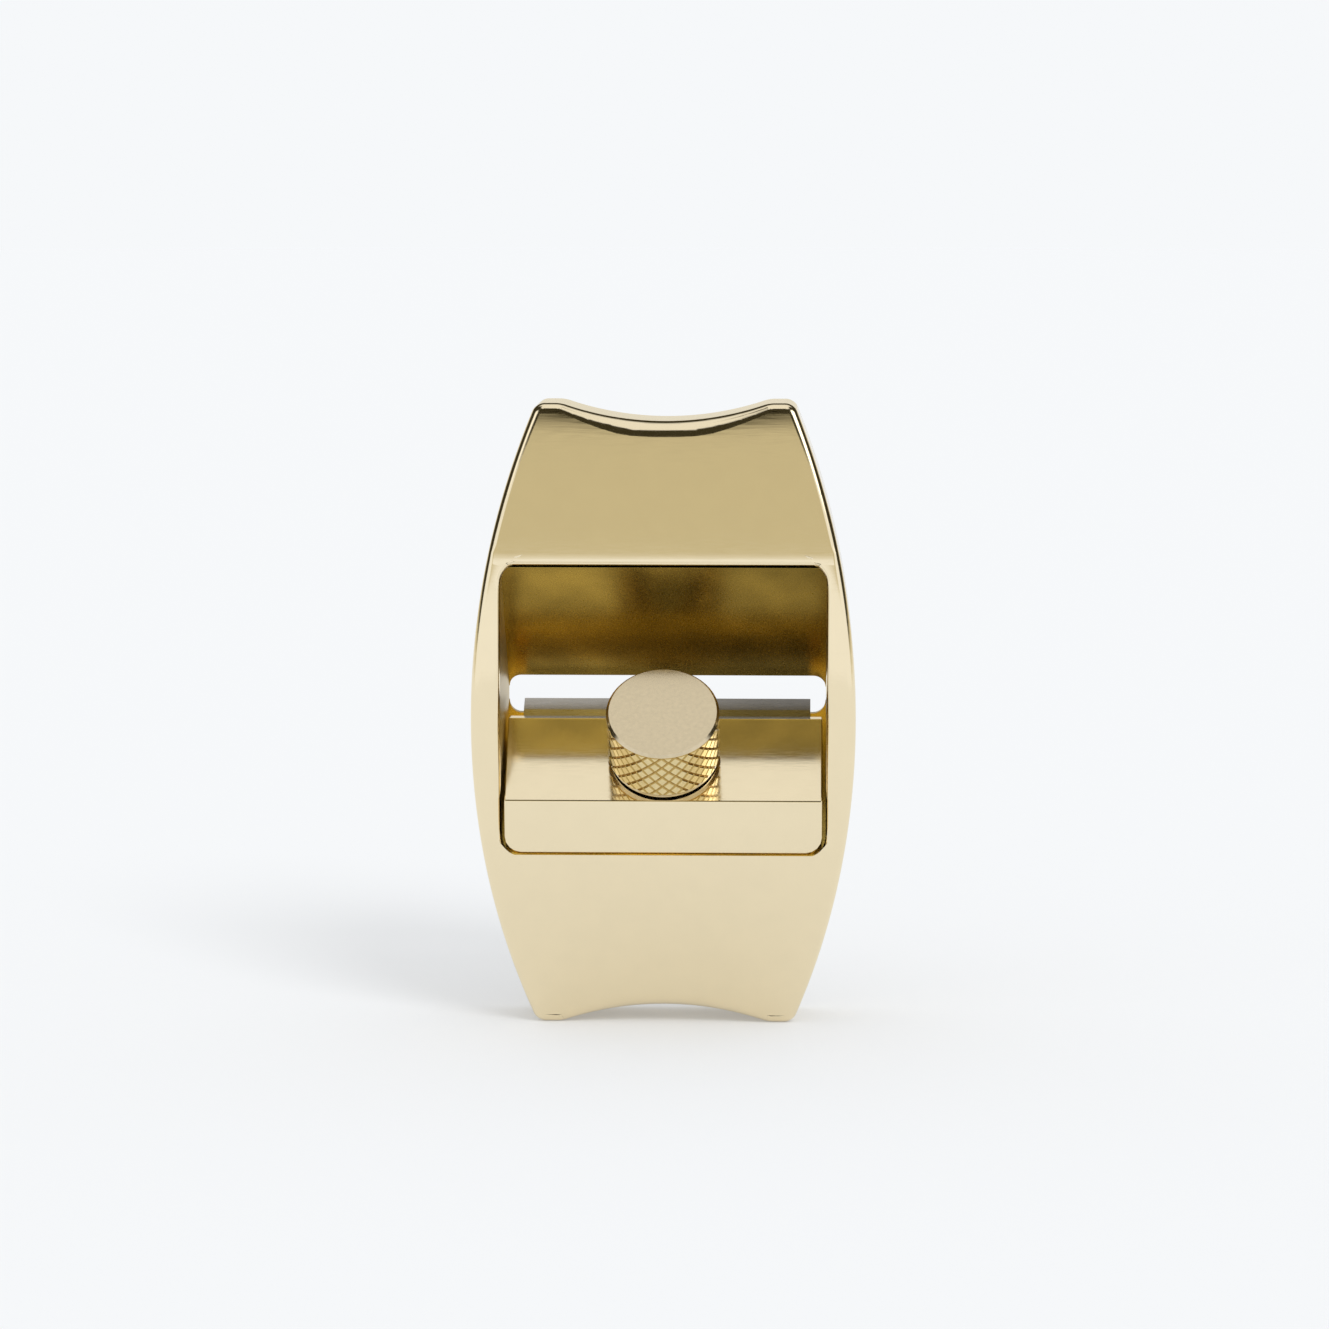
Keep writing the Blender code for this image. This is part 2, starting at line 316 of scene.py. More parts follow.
def raised_outline(outline, high):
    """A plan outline raised from the sole to a solid."""
    bm = bmesh.new()
    base = bm.faces.new([bm.verts.new((x, along, 0)) for x, along in outline])
    raised = bmesh.ops.extrude_face_region(bm, geom=[base])
    lifted = [item for item in raised["geom"] if isinstance(item, bmesh.types.BMVert)]
    bmesh.ops.translate(bm, vec=(0, 0, high), verts=lifted)
    bmesh.ops.recalc_face_normals(bm, faces=bm.faces[:])
    return bm


def mesh_object(name, bm):
    """Links a new object that holds the bmesh, and frees the bmesh."""
    mesh = bpy.data.meshes.new(name)
    bm.to_mesh(mesh)
    bm.free()
    obj = bpy.data.objects.new(name, mesh)
    bpy.context.scene.collection.objects.link(obj)
    return obj


def evaluated_copy(helpers):
    """The first object's mesh with its modifiers applied. The helper objects are removed."""
    bpy.context.view_layer.update()
    evaluated = helpers[0].evaluated_get(bpy.context.evaluated_depsgraph_get())
    result = bmesh.new()
    result.from_mesh(evaluated.to_mesh())
    evaluated.to_mesh_clear()
    for helper in helpers:
        mesh = helper.data
        bpy.data.objects.remove(helper)
        bpy.data.meshes.remove(mesh)
    return result


def cut_with(bm, cutters):
    """The solid after the cutters are taken out of it."""
    obj = mesh_object("blank", bm)
    helpers = [mesh_object("cutter", cutter) for cutter in cutters]
    for helper in helpers:
        modifier = obj.modifiers.new("cut", "BOOLEAN")
        modifier.operation = "DIFFERENCE"
        modifier.solver = "EXACT"
        modifier.object = helper
    return evaluated_copy([obj, *helpers])


def node_copy(node):
    """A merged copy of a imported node's mesh, with its flat faces joined up."""
    bm = bmesh.new()
    bm.from_mesh(frame["nodes"][node].data)
    bmesh.ops.remove_doubles(bm, verts=bm.verts[:], dist=1e-6)
    bmesh.ops.dissolve_limit(
        bm, angle_limit=math.radians(0.2), verts=bm.verts[:], edges=bm.edges[:]
    )
    return bm


def finish_piece(name, bm, materials, body, node):
    """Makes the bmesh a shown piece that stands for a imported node."""
    obj = mesh_object(name, bm)
    obj.data.shade_smooth()
    obj.data.set_sharp_from_angle(angle=math.radians(35))
    for material in materials:
        obj.data.materials.append(material)
    weighted = obj.modifiers.new("weighted normals", "WEIGHTED_NORMAL")
    weighted.keep_sharp = True
    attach(obj, body)
    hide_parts(node)
    return obj


# ---------------------------------------------------------------- body


def body_outline(sizes, side_steps, scallop_steps):
    """The plan outline, from the middle of the right side round by the toe and the heel."""
    step = MIDDLE / side_steps
    side = [(side_at(MIDDLE + n * step, sizes), MIDDLE + n * step) for n in range(side_steps + 1)]
    radius = sizes.scallop_radius
    centre = LENGTH - sizes.scallop_depth + radius
    half_angle = math.acos((centre - LENGTH) / radius)
    angles = [half_angle * (1 - n / scallop_steps) for n in range(scallop_steps + 1)]
    scallop = [(radius * math.sin(a), centre - radius * math.cos(a)) for a in angles]
    quarter = side + scallop
    toe = quarter + [(-x, along) for x, along in reversed(quarter[:-1])]
    heel = [(-x, LENGTH - along) for x, along in toe[1:-1]]
    return toe + heel, scallop[0][0]


def chord_height(along, spots, sizes):
    """Height of the first, coarse arch, whose chords meet at the given spots."""
    low = max(spot for spot in spots[:-1] if spot <= max(along, 0) + 1e-9)
    high = min(spot for spot in spots if spot > low)
    share = (along - low) / (high - low)
    return top_at(low, sizes) * (1 - share) + top_at(high, sizes) * share


def body_blank(sizes, spots):
    """The outline raised to a coarse arch, with the horns rounded."""
    outline, horn_inside = body_outline(sizes, side_steps=SIDE_STEPS, scallop_steps=14)
    thickness = BODY_HIGH.y - BODY_LOW.y
    bm = raised_outline(outline, thickness)
    rounded = (
        (side_at(LENGTH, sizes), sizes.horn_radius, 8),
        (horn_inside, sizes.horn_blend, 6),
    )
    for across, radius, segments in rounded:
        corners = []
        for edge in bm.edges:
            spot = edge.verts[0].co
            at_end = min(spot.y, LENGTH - spot.y) < 1e-7
            if is_upright(edge) and at_end and abs(abs(spot.x) - across) < 1e-7:
                corners.append(edge)
        turn = corners[0].calc_face_angle()
        fillet(bm, corners, radius * math.tan(turn / 2), segments)
    top = [face for face in bm.faces if face.calc_center_median().z > thickness - 1e-6]
    score_across(bm, top, spots[1:-1])
    for vert in bm.verts:
        if vert.co.z > thickness - 1e-6:
            vert.co.z = chord_height(vert.co.y, spots, sizes)
    return bm


def throat_cutters(sizes):
    """The V-shaped throat under the window, and the mouth slot through the sole."""
    tall = 2 * (BODY_HIGH.y - BODY_LOW.y)
    half = sizes.window_width / 2
    throat = upright_box(
        half, sizes.window_heel, sizes.window_toe, -tall, tall, sizes.window_corner, 8
    )
    slice_off(throat, (0, sizes.mouth_heel, sizes.mouth_web), (0, -1, -1))
    slice_off(throat, (0, sizes.mouth_toe, sizes.mouth_web), (0, 1, -1))
    bmesh.ops.recalc_face_normals(throat, faces=throat.faces[:])
    lap = 0.0001
    mouth = upright_box(
        half - lap / 2,
        sizes.mouth_heel,
        sizes.mouth_toe,
        -sizes.mouth_web,
        sizes.mouth_web + lap,
        sizes.mouth_corner,
        8,
    )
    bmesh.ops.recalc_face_normals(mouth, faces=mouth.faces[:])
    return [throat, mouth]


def in_window(spot, sizes, slack=0.0002):
    """Whether a point lies over the window, seen from above."""
    across = abs(spot.x) < sizes.window_width / 2 + slack
    return across and sizes.window_heel - slack < spot.y < sizes.window_toe + slack


def rim_size(edge, sizes):
    """The rounding of an edge of the top: none on the bed's rim, widest in the scallops."""
    start, end = (vert.co for vert in edge.verts)
    middle = (start + end) / 2
    if sum(face.normal.z > 0.9 for face in edge.link_faces) != 1:
        return 0.0
    rail = side_at(middle.y, sizes) - sizes.window_width / 2
    if in_window(middle, sizes):
        towards_toe = max(face.normal.y for face in edge.link_faces if face.normal.z < 0.9)
        fade = 1 - min(1.0, max(0.0, towards_toe / 0.7))
        crosswise = abs(start.x - end.x) > 3 * abs(start.y - end.y)
        widest = sizes.window_fillet if crosswise else 0.32 * rail
        return min(sizes.window_fillet, widest) * fade
    horns = side_at(LENGTH, sizes) - 2.2 * sizes.horn_radius
    at_end = min(middle.y, LENGTH - middle.y) < sizes.scallop_depth * 1.1
    if at_end and abs(middle.x) < horns:
        share = min(1.0, (horns - abs(middle.x)) / END_TAPER)
        return sizes.side_fillet + (sizes.end_fillet - sizes.side_fillet) * share
    beside_window = sizes.window_heel < middle.y + RAIL_ENDS
    beside_window = beside_window and middle.y - RAIL_ENDS < sizes.window_toe
    return min(sizes.side_fillet, 0.5 * rail) if beside_window else sizes.side_fillet


def round_rims(bm, sizes):
    """Rounds the top's outer rim and the window's rim, each edge by its own size."""
    bm.normal_update()
    weights = bm.edges.layers.float.new("bevel_weight_edge")
    for edge in bm.edges:
        edge[weights] = rim_size(edge, sizes) / sizes.end_fillet
    obj = mesh_object("blank", bm)
    modifier = obj.modifiers.new("rims", "BEVEL")
    modifier.limit_method = "WEIGHT"
    modifier.offset_type = "OFFSET"
    modifier.width = sizes.end_fillet
    modifier.segments = 9
    modifier.use_clamp_overlap = False
    return evaluated_copy([obj])


def body_mesh(sizes):
    """The body, standing, with its faces marked polished, milled or brushed; the milled and brushed
    faces in the throat take darker brass as painted shade.
    """
    spots = [MIDDLE * mark / SIDE_STEPS for mark in ARCH_MARKS]
    bm = cut_with(body_blank(sizes, spots), throat_cutters(sizes))
    bmesh.ops.remove_doubles(bm, verts=bm.verts[:], dist=2e-7)
    bm = round_rims(bm, sizes)
    bm.normal_update()
    sole_rim = [
        edge
        for edge in bm.edges
        if sum(face.normal.z < -0.99 for face in edge.link_faces) == 1
        and not in_window((edge.verts[0].co + edge.verts[1].co) / 2, sizes)
    ]
    fillet(bm, sole_rim, sizes.sole_fillet, 3)

    bm.normal_update()
    wall = Vector((0, -1, 1)).normalized()
    bed = Vector((0, 1, 1)).normalized()
    for face in bm.faces:
        middle = face.calc_center_median()
        flat = max(face.normal.dot(wall), face.normal.dot(bed)) > 0.99
        inside = in_window(middle, sizes) and middle.z > 1e-6
        # The throat's flats and side walls take darker brass: painted shade of the throat.
        if inside and flat:
            face.material_index = MILLED_AND_SHADED
        elif inside and abs(face.normal.z) < 0.01:
            face.material_index = BRUSHED_AND_SHADED

    deepest = sizes.end_fillet * 1.1
    arched = []
    for face in bm.faces:
        middle = face.calc_center_median()
        if middle.z > chord_height(middle.y, spots, sizes) - deepest and face.normal.z > 0.02:
            arched.append(face)
    score_across(bm, arched, [LENGTH * n / ARCH_STEPS for n in range(1, ARCH_STEPS)])
    for vert in bm.verts:
        coarse = chord_height(vert.co.y, spots, sizes)
        if vert.co.z > coarse - deepest:
            vert.co.z += top_at(vert.co.y, sizes) - coarse
    bm.transform(STAND_UP)
    return bm


class PENCIL_PLANE_OT_body(bpy.types.Operator):
    """Make the polished brass body with its throat, bed and mouth"""

    bl_idname = "pencil_plane.body"
    bl_label = "Body"

    def execute(self, context):
        sizes = context.scene.plane_body
        finishes = context.scene.plane_finishes
        materials = [
            polished_brass(finishes.brass),
            # Painted shade: the throat's two brasses are darkened.
            milled_brass_painted_shade(finishes.milled_and_shaded),
            turned_brass("shaded_throat_side", finishes.shaded_throat_side, rough=0.34),
        ]
        finish_piece("body_block", body_mesh(sizes), materials, "plane_body", "body")
        return {"FINISHED"}


# ---------------------------------------------------------------- clamp, blade and screw


def clamp_mesh(sizes):
    """The clamp block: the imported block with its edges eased."""
    bm = node_copy("clamp")
    bm.transform(STAND_UP.inverted())
    bm.normal_update()
    sharp = [
        edge
        for edge in bm.edges
        if len(edge.link_faces) == 2 and edge.calc_face_angle() > math.radians(28)
    ]
    fillet(bm, sharp, sizes.edge_fillet, 3)
    bm.transform(STAND_UP)
    return bm


class PENCIL_PLANE_OT_clamp(bpy.types.Operator):
    """Make the brass clamp block that fills the heel side of the window"""

    bl_idname = "pencil_plane.clamp"
    bl_label = "Clamp"

    def execute(self, context):
        scene = context.scene
        bm = clamp_mesh(scene.plane_clamp)
        materials = [polished_brass(scene.plane_finishes.brass)]
        finish_piece("clamp_block", bm, materials, "clamp", "clamp")
        return {"FINISHED"}


class PENCIL_PLANE_OT_blade(bpy.types.Operator):
    """Make the ground steel blade"""

    bl_idname = "pencil_plane.blade"
    bl_label = "Blade"

    def execute(self, context):
        bm = node_copy("blade")
        bm.normal_update()
        sharp = [
            edge
            for edge in bm.edges
            if len(edge.link_faces) == 2 and edge.calc_face_angle() > math.radians(60)
        ]
        fillet(bm, sharp, 0.00001, 1)
        materials = [ground_steel("ground_blade", context.scene.plane_finishes.steel)]
        finish_piece("blade_plate", bm, materials, "blade", "blade")
        return {"FINISHED"}


def knurled_band(bm, low, high, radius, sizes):
    """A closed band of raised diamonds. Returns its bottom and top rings of vertices."""
    columns = 2 * sizes.diamonds
    levels = 2 * sizes.rows
    root = radius - sizes.knurl_depth
    grid = {}
    for level in range(levels + 1):
        for column in range(columns):
            if level in (0, levels) or (column + level) % 2:
                turn = math.tau * column / columns
                height = low + (high - low) * level / levels
                spot = (root * math.cos(turn), root * math.sin(turn), height)
                grid[column, level] = bm.verts.new(spot)
    diamonds = []
    for level in range(levels + 1):
        for column in range(level % 2, columns, 2):
            corners = [
                (column - 1, level),
                (column, max(level - 1, 0)),
                (column + 1, level),
                (column, min(level + 1, levels)),
            ]
            face = bm.faces.new([grid[place % columns, row] for place, row in corners])
            diamonds.append(face)
    bm.normal_update()
    grooves = bmesh.ops.inset_individual(
        bm,
        faces=diamonds,
        thickness=sizes.knurl_slope,
        depth=sizes.knurl_depth,
        use_even_offset=True,
    )
    for face in diamonds:
        face.material_index = KNURL
    # The grooves take the darker brass, painted shade in the knurl.
    for face in grooves["faces"]:
        face.material_index = SHADED_GROOVE
    rings = [[grid[column, level] for column in range(columns)] for level in (0, levels)]
    return rings[0], rings[1]


def lathe_on(bm, ring, profile):
    """Carries a ring of vertices on through a profile of (radius, height), ending on the axis."""
    for radius, height in profile:
        if radius == 0:
            tip = bm.verts.new((0, 0, height))
            for first, second in zip(ring, ring[1:] + ring[:1]):
                bm.faces.new((first, second, tip))
            return
        following = []
        for vert in ring:
            spread = radius / math.hypot(vert.co.x, vert.co.y)
            following.append(bm.verts.new((vert.co.x * spread, vert.co.y * spread, height)))
        pairs = zip(ring, ring[1:] + ring[:1], following, following[1:] + following[:1])
        for first, second, third, fourth in pairs:
            bm.faces.new((first, second, fourth, third))
        ring = following


def knob_mesh(sizes):
    """The knob, modelled on the bed's frame with a ring of diamonds round its side."""
    spots = [BED_FRAME.inverted() @ vert.co for vert in frame["nodes"]["knob"].data.vertices]
    low = min(spot.z for spot in spots)
    high = max(spot.z for spot in spots)
    radius = max(math.hypot(spot.x, spot.y) for spot in spots)
    base = [spot for spot in spots if spot.z < low + 1e-6]
    socket = min(math.hypot(spot.x, spot.y) for spot in base)
    bored = [spot for spot in spots if math.hypot(spot.x, spot.y) < socket + 1e-6]
    depth = max(spot.z for spot in bored if spot.z < high - 1e-4)
    ease = sizes.chamfer
    bm = bmesh.new()
    bottom, top = knurled_band(bm, low + 1.2 * ease, high - 1.2 * ease, radius, sizes)
    lathe_on(bm, top, [(radius, high - ease), (radius - ease, high), (0, high)])
    washer = [BED_FRAME.inverted() @ vert.co for vert in frame["nodes"]["washer"].data.vertices]
    recess = max(math.hypot(spot.x, spot.y) for spot in washer) + 0.0001
    foot = low - sizes.foot
    ending = [(radius - 0.3 * ease, low + ease), (radius - ease, low), (radius - ease, foot)]
    ending += [(recess, foot), (recess, low), (socket, low), (socket, depth), (0, depth)]
    lathe_on(bm, bottom, ending)
    bmesh.ops.recalc_face_normals(bm, faces=bm.faces[:])
    bm.transform(BED_FRAME)
    return bm


class PENCIL_PLANE_OT_knob(bpy.types.Operator):
    """Make the knurled brass knob"""

    bl_idname = "pencil_plane.knob"
    bl_label = "Knob"

    def execute(self, context):
        scene = context.scene
        bm = knob_mesh(scene.plane_knob)
        finishes = scene.plane_finishes
        materials = [
            turned_brass("knob_brass", finishes.knob),
            turned_brass("knurl_brass", finishes.knurl),
            turned_brass("groove_brass_painted_shade", finishes.groove),
        ]
        obj = finish_piece("thumb_knob", bm, materials, "thumbscrew", "knob")
        obj.data.set_sharp_from_angle(angle=math.radians(18))
        return {"FINISHED"}


class PENCIL_PLANE_OT_screw(bpy.types.Operator):
    """Give the screw's stud and washer their finishes"""

    bl_idname = "pencil_plane.screw"
    bl_label = "Stud and washer"

    def execute(self, context):
        finishes = context.scene.plane_finishes
        stud = frame["nodes"]["stud"]
        washer = frame["nodes"]["washer"]
        stud.data.materials.clear()
        # The stud's steel carries the same painted light, lighter to the left.
        stud.data.materials.append(ground_steel("turned_screw", finishes.screw_steel))
        washer.data.materials.clear()
        washer.data.materials.append(polished_brass(finishes.brass))
        return {"FINISHED"}


# ---------------------------------------------------------------- materials


def new_shader(name):
    """A material and its Principled shader, or None for the shader where the material exists."""
    material = bpy.data.materials.get(name)
    if material:
        return material, None
    material = bpy.data.materials.new(name)
    material.use_nodes = True
    return material, material.node_tree.nodes["Principled BSDF"]


def noise_on(tree, stretch, scale, detail):
    """Noise on the piece's own coordinates, stretched along each axis."""
    coordinates = tree.nodes.new("ShaderNodeTexCoord")
    mapping = tree.nodes.new("ShaderNodeMapping")
    mapping.inputs["Scale"].default_value = stretch
    noise = tree.nodes.new("ShaderNodeTexNoise")
    noise.inputs["Scale"].default_value = scale
    noise.inputs["Detail"].default_value = detail
    tree.links.new(coordinates.outputs["Object"], mapping.inputs["Vector"])
    tree.links.new(mapping.outputs["Vector"], noise.inputs["Vector"])
    return noise.outputs["Fac"]


def remap(tree, value, low, high, spread=0.3):
    """Maps a noise value to a range."""
    node = tree.nodes.new("ShaderNodeMapRange")
    node.inputs["From Min"].default_value = 0.5 - spread / 2
    node.inputs["From Max"].default_value = 0.5 + spread / 2
    node.inputs["To Min"].default_value = low
    node.inputs["To Max"].default_value = high
    tree.links.new(value, node.inputs["Value"])
    return node.outputs["Result"]


def math_node(tree, operation, *values):
    """The result of an operation on numbers and node outputs."""
    node = tree.nodes.new("ShaderNodeMath")
    node.operation = operation
    for socket, value in zip(node.inputs, values):
        if isinstance(value, (int, float)):
            socket.default_value = value
        else:
            tree.links.new(value, socket)
    return node.outputs[0]


def smooth_ramp(tree, value, start, end, low, high):
    """Eases from low to high while the value goes from start to end."""
    node = tree.nodes.new("ShaderNodeMapRange")
    node.interpolation_type = "SMOOTHSTEP"
    node.inputs["From Min"].default_value = start
    node.inputs["From Max"].default_value = end
    node.inputs["To Min"].default_value = low
    node.inputs["To Max"].default_value = high
    tree.links.new(value, node.inputs["Value"])
    return node.outputs["Result"]


def along_axis(tree, axis, start, end, low, high):
    """Eases from low to high along one of the piece's own axes."""
    coordinates = tree.nodes.new("ShaderNodeTexCoord")
    split = tree.nodes.new("ShaderNodeSeparateXYZ")
    tree.links.new(coordinates.outputs["Object"], split.inputs[0])
    return smooth_ramp(tree, split.outputs[axis], start, end, low, high)


def bump(tree, shader, height, distance):
    """Raises the surface by a height pattern. The distance is in metres."""
    node = tree.nodes.new("ShaderNodeBump")
    node.inputs["Strength"].default_value = 1.0
    node.inputs["Distance"].default_value = distance
    tree.links.new(height, node.inputs["Height"])
    tree.links.new(node.outputs["Normal"], shader.inputs["Normal"])


def tint(tree, shader, base, other, factor):
    """Varies the base colour between two close shades."""
    mix = tree.nodes.new("ShaderNodeMix")
    mix.data_type = "RGBA"
    mix.inputs[6].default_value = (*base, 1.0)
    mix.inputs[7].default_value = (*other, 1.0)
    tree.links.new(factor, mix.inputs[0])
    tree.links.new(mix.outputs[2], shader.inputs["Base Color"])


def shade_by(tree, shader, base, shade):
    """Multiplies the base colour by a value that varies over the surface."""
    scale = tree.nodes.new("ShaderNodeVectorMath")
    scale.operation = "SCALE"
    scale.inputs[0].default_value = base
    tree.links.new(shade, scale.inputs["Scale"])
    tree.links.new(scale.outputs[0], shader.inputs["Base Color"])


def polished_brass(base):
    """Brass polished to a soft mirror, with faint hairlines across the width."""
    material, shader = new_shader("polished_brass")
    if shader is None:
        return material
    tree = material.node_tree
    shader.inputs["Metallic"].default_value = 1.0
    hairlines = noise_on(tree, (0.06, 1.0, 1.0), 9000.0, 3.0)
    cloud = noise_on(tree, (1.0, 1.0, 1.0), 420.0, 4.0)
    darker = tuple(channel * 0.985 for channel in base)
    tint(tree, shader, darker, base, remap(tree, cloud, 0.0, 1.0))
    tree.links.new(remap(tree, hairlines, 0.08, 0.13), shader.inputs["Roughness"])
    bump(tree, shader, hairlines, 0.0000006)
    return material


def turned_brass(name, base, rough=0.14):
    """Turned brass, handled and finely scratched."""
    material, shader = new_shader(name)
    if shader is None:
        return material
    tree = material.node_tree
    shader.inputs["Metallic"].default_value = 1.0
    cloud = noise_on(tree, (1.0, 1.0, 1.0), 2600.0, 6.0)
    darker = tuple(channel * 0.92 for channel in base)
    tint(tree, shader, darker, base, remap(tree, cloud, 0.0, 1.0))
    tree.links.new(remap(tree, cloud, rough, rough + 0.03), shader.inputs["Roughness"])
    scratches = noise_on(tree, (1.0, 0.12, 1.0), 7000.0, 2.0)
    bump(tree, shader, scratches, 0.0000015)
    return material


def milled_brass_painted_shade(base):
    """Brass as milled: grainy and blotched, darkened as painted shade of the throat, with painted
    light that makes it brighter down by the mouth and to the left.
    """
    material, shader = new_shader("milled_brass_painted_shade")
    if shader is None:
        return material
    tree = material.node_tree
    shader.inputs["Metallic"].default_value = 1.0
    grain = noise_on(tree, (1.0, 1.0, 1.0), 6000.0, 5.0)
    blotches = noise_on(tree, (1.0, 1.0, 1.6), 170.0, 1.5)
    # Painted light: brighter down by the mouth and to the left, darker up the wall and to the
    # right.
    painted_light_by_mouth = along_axis(tree, "Z", 0.0335, 0.0405, 1.0, 0.0)
    left = along_axis(tree, "X", -0.0155, 0.0155, 0.12, -0.12)
    shade = math_node(tree, "MULTIPLY_ADD", painted_light_by_mouth, 1.15, 0.80)
    shade = math_node(tree, "ADD", shade, left)
    shade = math_node(tree, "MULTIPLY", shade, remap(tree, blotches, 0.8, 1.25, 0.4))
    shade = math_node(tree, "MULTIPLY", shade, remap(tree, grain, 0.88, 1.0))
    shade_by(tree, shader, base, shade)
    tree.links.new(remap(tree, grain, 0.20, 0.28), shader.inputs["Roughness"])
    bump(tree, shader, grain, 0.0000015)
    return material


def ground_steel(name, base):
    """Steel with fine grinding lines across the width, and painted light that makes it a little
    lighter to the left.
    """
    material, shader = new_shader(name)
    if shader is None:
        return material
    tree = material.node_tree
    shader.inputs["Metallic"].default_value = 1.0
    lines = noise_on(tree, (0.05, 1.0, 1.0), 12000.0, 3.0)
    # Painted light: lighter to the left and darker to the right.
    left = along_axis(tree, "X", -0.014, 0.014, 1.25, 0.55)
    shade = math_node(tree, "MULTIPLY", left, remap(tree, lines, 0.82, 1.0))
    shade_by(tree, shader, base, shade)
    tree.links.new(remap(tree, lines, 0.25, 0.38), shader.inputs["Roughness"])
    bump(tree, shader, lines, 0.000001)
    return material


# ---------------------------------------------------------------- stage


def make_floor(base, radius):
    """A matt floor that glows a little, so that it fades into the backdrop."""
    bm = bmesh.new()
    bmesh.ops.create_circle(bm, cap_ends=True, segments=96, radius=radius)
    floor = mesh_object("floor", bm)
    material, shader = new_shader("floor")
    shader.inputs["Base Color"].default_value = (*base, 1.0)
    shader.inputs["Roughness"].default_value = 1.0
    shader.inputs["Specular IOR Level"].default_value = 0.0
    shader.inputs["Emission Color"].default_value = (*PLAIN, 1.0)
    shader.inputs["Emission Strength"].default_value = 0.25
    floor.data.materials.append(material)


def make_key_light(stage):
    """A wide, even light from the front right, which only the matt floor shows."""
    light = bpy.data.lights.new("key_light", "SUN")
    light.energy = stage.key_power
    light.angle = stage.key_angle
    light.color = PLAIN
    lamp = bpy.data.objects.new("key_light", light)
    bpy.context.scene.collection.objects.link(lamp)
    lamp.location = (0.3, -0.6, 0.5)
    lamp.rotation_euler = (math.pi / 2 - stage.key_elevation, 0, stage.key_azimuth)
    lamp.visible_glossy = False


def profile_ramp(tree, height, stops):
    """Colour against height. The stops are in degrees, the height goes from 0 to 1."""
    node = tree.nodes.new("ShaderNodeValToRGB")
    ramp = node.color_ramp
    ramp.interpolation = "LINEAR"
    while len(ramp.elements) > 1:
        ramp.elements.remove(ramp.elements[-1])
    for index, (degrees, shade) in enumerate(stops):
        spot = (degrees + 90) / 180
        element = ramp.elements[0] if index == 0 else ramp.elements.new(spot)
        element.position = spot
        element.color = (*shade, 1.0)
    tree.links.new(height, node.inputs["Fac"])
    return node.outputs["Color"]


def mix_colours(tree, factor, first, second):
    """Goes from the first colour to the second as the factor rises."""
    mix = tree.nodes.new("ShaderNodeMix")
    mix.data_type = "RGBA"
    tree.links.new(factor, mix.inputs[0])
    tree.links.new(first, mix.inputs[6])
    tree.links.new(second, mix.inputs[7])
    return mix.outputs[2]


def make_surroundings():
    """A studio of soft panels and dark gaps that only the metal mirrors, and a plain backdrop."""
    world = bpy.data.worlds.new("studio")
    bpy.context.scene.world = world
    world.use_nodes = True
    tree = world.node_tree
    background = tree.nodes["Background"]
    coordinates = tree.nodes.new("ShaderNodeTexCoord")
    split = tree.nodes.new("ShaderNodeSeparateXYZ")
    tree.links.new(coordinates.outputs["Generated"], split.inputs[0])
    x, y, z = split.outputs
    angle = math_node(tree, "DIVIDE", math_node(tree, "ARCSINE", z), math.pi)
    height = math_node(tree, "ADD", angle, 0.5)
    flat = math_node(tree, "SUBTRACT", 1.0, math_node(tree, "POWER", z, 2.0))
    flat = math_node(tree, "MAXIMUM", math_node(tree, "SQRT", flat), 0.001)
    ahead = math_node(tree, "DIVIDE", math_node(tree, "MULTIPLY", y, -1.0), flat)
    panels = profile_ramp(tree, height, FRONT)
    for profile, start, end in TURNS:
        turned = smooth_ramp(tree, ahead, start, end, 0.0, 1.0)
        panels = mix_colours(tree, turned, panels, profile_ramp(tree, height, profile))
    for toward, edge, power in LAMPS:
        lamp = tree.nodes.new("ShaderNodeVectorMath")
        lamp.operation = "DOT_PRODUCT"
        lamp.inputs[1].default_value = toward
        tree.links.new(coordinates.outputs["Generated"], lamp.inputs[0])
        spread = smooth_ramp(tree, lamp.outputs["Value"], edge, edge + LAMP_SOFTNESS, 0.0, 1.0)
        glow = tree.nodes.new("ShaderNodeRGB")
        glow.outputs[0].default_value = (power, power, power, 1.0)
        panels = mix_colours(tree, spread, panels, glow.outputs[0])
    path = tree.nodes.new("ShaderNodeLightPath")
    plain = tree.nodes.new("ShaderNodeRGB")
    plain.outputs[0].default_value = (*PLAIN, 1.0)
    seen = mix_colours(tree, path.outputs["Is Glossy Ray"], plain.outputs[0], panels)
    tree.links.new(seen, background.inputs["Color"])
    background.inputs["Strength"].default_value = 1.0


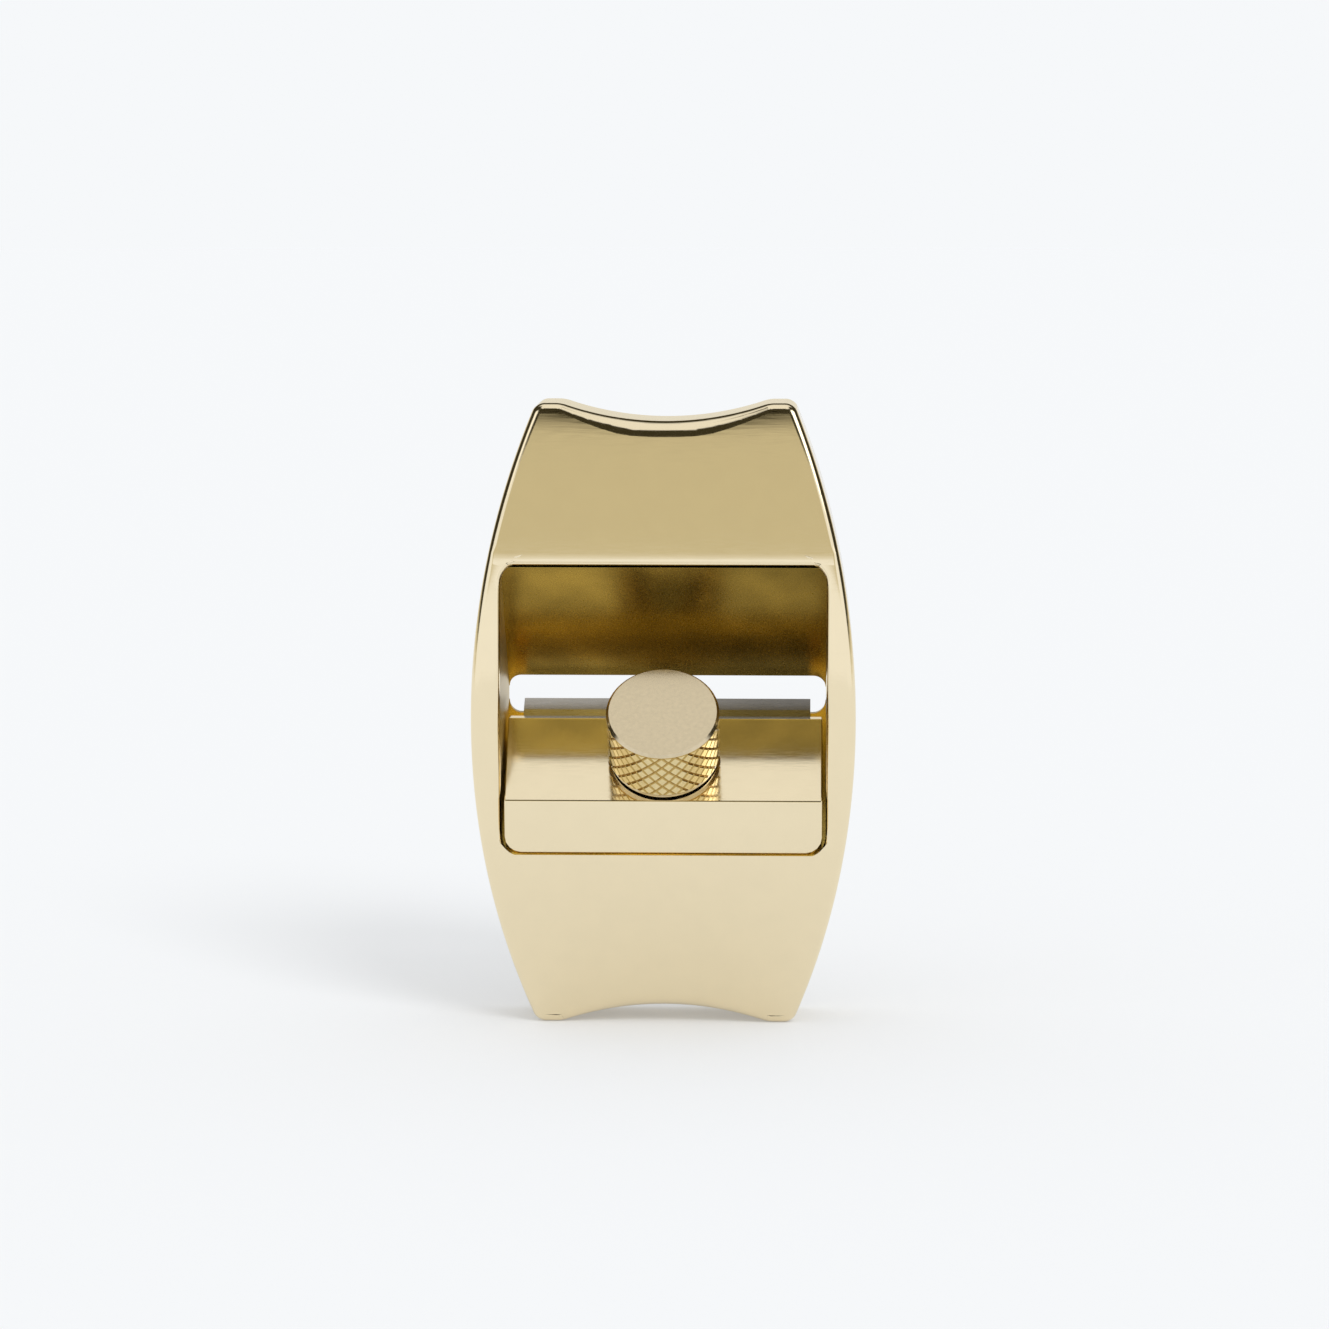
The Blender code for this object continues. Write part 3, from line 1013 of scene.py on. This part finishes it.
def make_camera(stage):
    """A long lens from the front, a little above and to the right."""
    data = bpy.data.cameras.new("camera")
    data.lens = stage.lens
    data.sensor_width = 36.0
    data.clip_start = 0.01
    data.clip_end = 20.0
    camera = bpy.data.objects.new("camera", data)
    bpy.context.scene.collection.objects.link(camera)
    flat = stage.distance * math.cos(stage.elevation)
    camera.location = (
        flat * math.sin(stage.azimuth),
        -flat * math.cos(stage.azimuth),
        MIDDLE + stage.distance * math.sin(stage.elevation),
    )
    camera.rotation_euler = (math.pi / 2 - stage.tilt, 0, stage.azimuth)
    bpy.context.scene.camera = camera


class PENCIL_PLANE_OT_stage(bpy.types.Operator):
    """Set the floor, the soft light and the camera"""

    bl_idname = "pencil_plane.stage"
    bl_label = "Stage"

    def execute(self, context):
        stage = context.scene.plane_stage
        make_floor(context.scene.plane_finishes.floor, stage.floor_radius)
        make_surroundings()
        make_key_light(stage)
        make_camera(stage)
        context.scene.view_settings.view_transform = "Standard"
        return {"FINISHED"}


# ---------------------------------------------------------------- add-on


class PENCIL_PLANE_PT_panel(bpy.types.Panel):
    """Lists the pieces of the pencil plane"""

    bl_idname = "PENCIL_PLANE_PT_panel"
    bl_label = "Pencil plane"
    bl_space_type = "VIEW_3D"
    bl_region_type = "UI"
    bl_category = "Pencil plane"

    def draw(self, context):
        for operator in OPERATORS:
            self.layout.operator(operator.bl_idname)


SETTINGS = {
    "plane_body": BodySizes,
    "plane_clamp": ClampSizes,
    "plane_knob": KnobSizes,
    "plane_finishes": Finishes,
    "plane_stage": StageSizes,
}
OPERATORS = (
    PENCIL_PLANE_OT_stage,
    PENCIL_PLANE_OT_body,
    PENCIL_PLANE_OT_clamp,
    PENCIL_PLANE_OT_blade,
    PENCIL_PLANE_OT_knob,
    PENCIL_PLANE_OT_screw,
)


def register():
    for cls in (*SETTINGS.values(), *OPERATORS, PENCIL_PLANE_PT_panel):
        bpy.utils.register_class(cls)
    for name, group in SETTINGS.items():
        setattr(bpy.types.Scene, name, PointerProperty(type=group))


def unregister():
    for name in SETTINGS:
        delattr(bpy.types.Scene, name)
    for cls in reversed((*SETTINGS.values(), *OPERATORS, PENCIL_PLANE_PT_panel)):
        bpy.utils.unregister_class(cls)


def main():
    register()
    bpy.ops.pencil_plane.stage()
    bpy.ops.pencil_plane.body()
    bpy.ops.pencil_plane.clamp()
    bpy.ops.pencil_plane.blade()
    bpy.ops.pencil_plane.knob()
    bpy.ops.pencil_plane.screw()


if __name__ == "__main__":
    main()
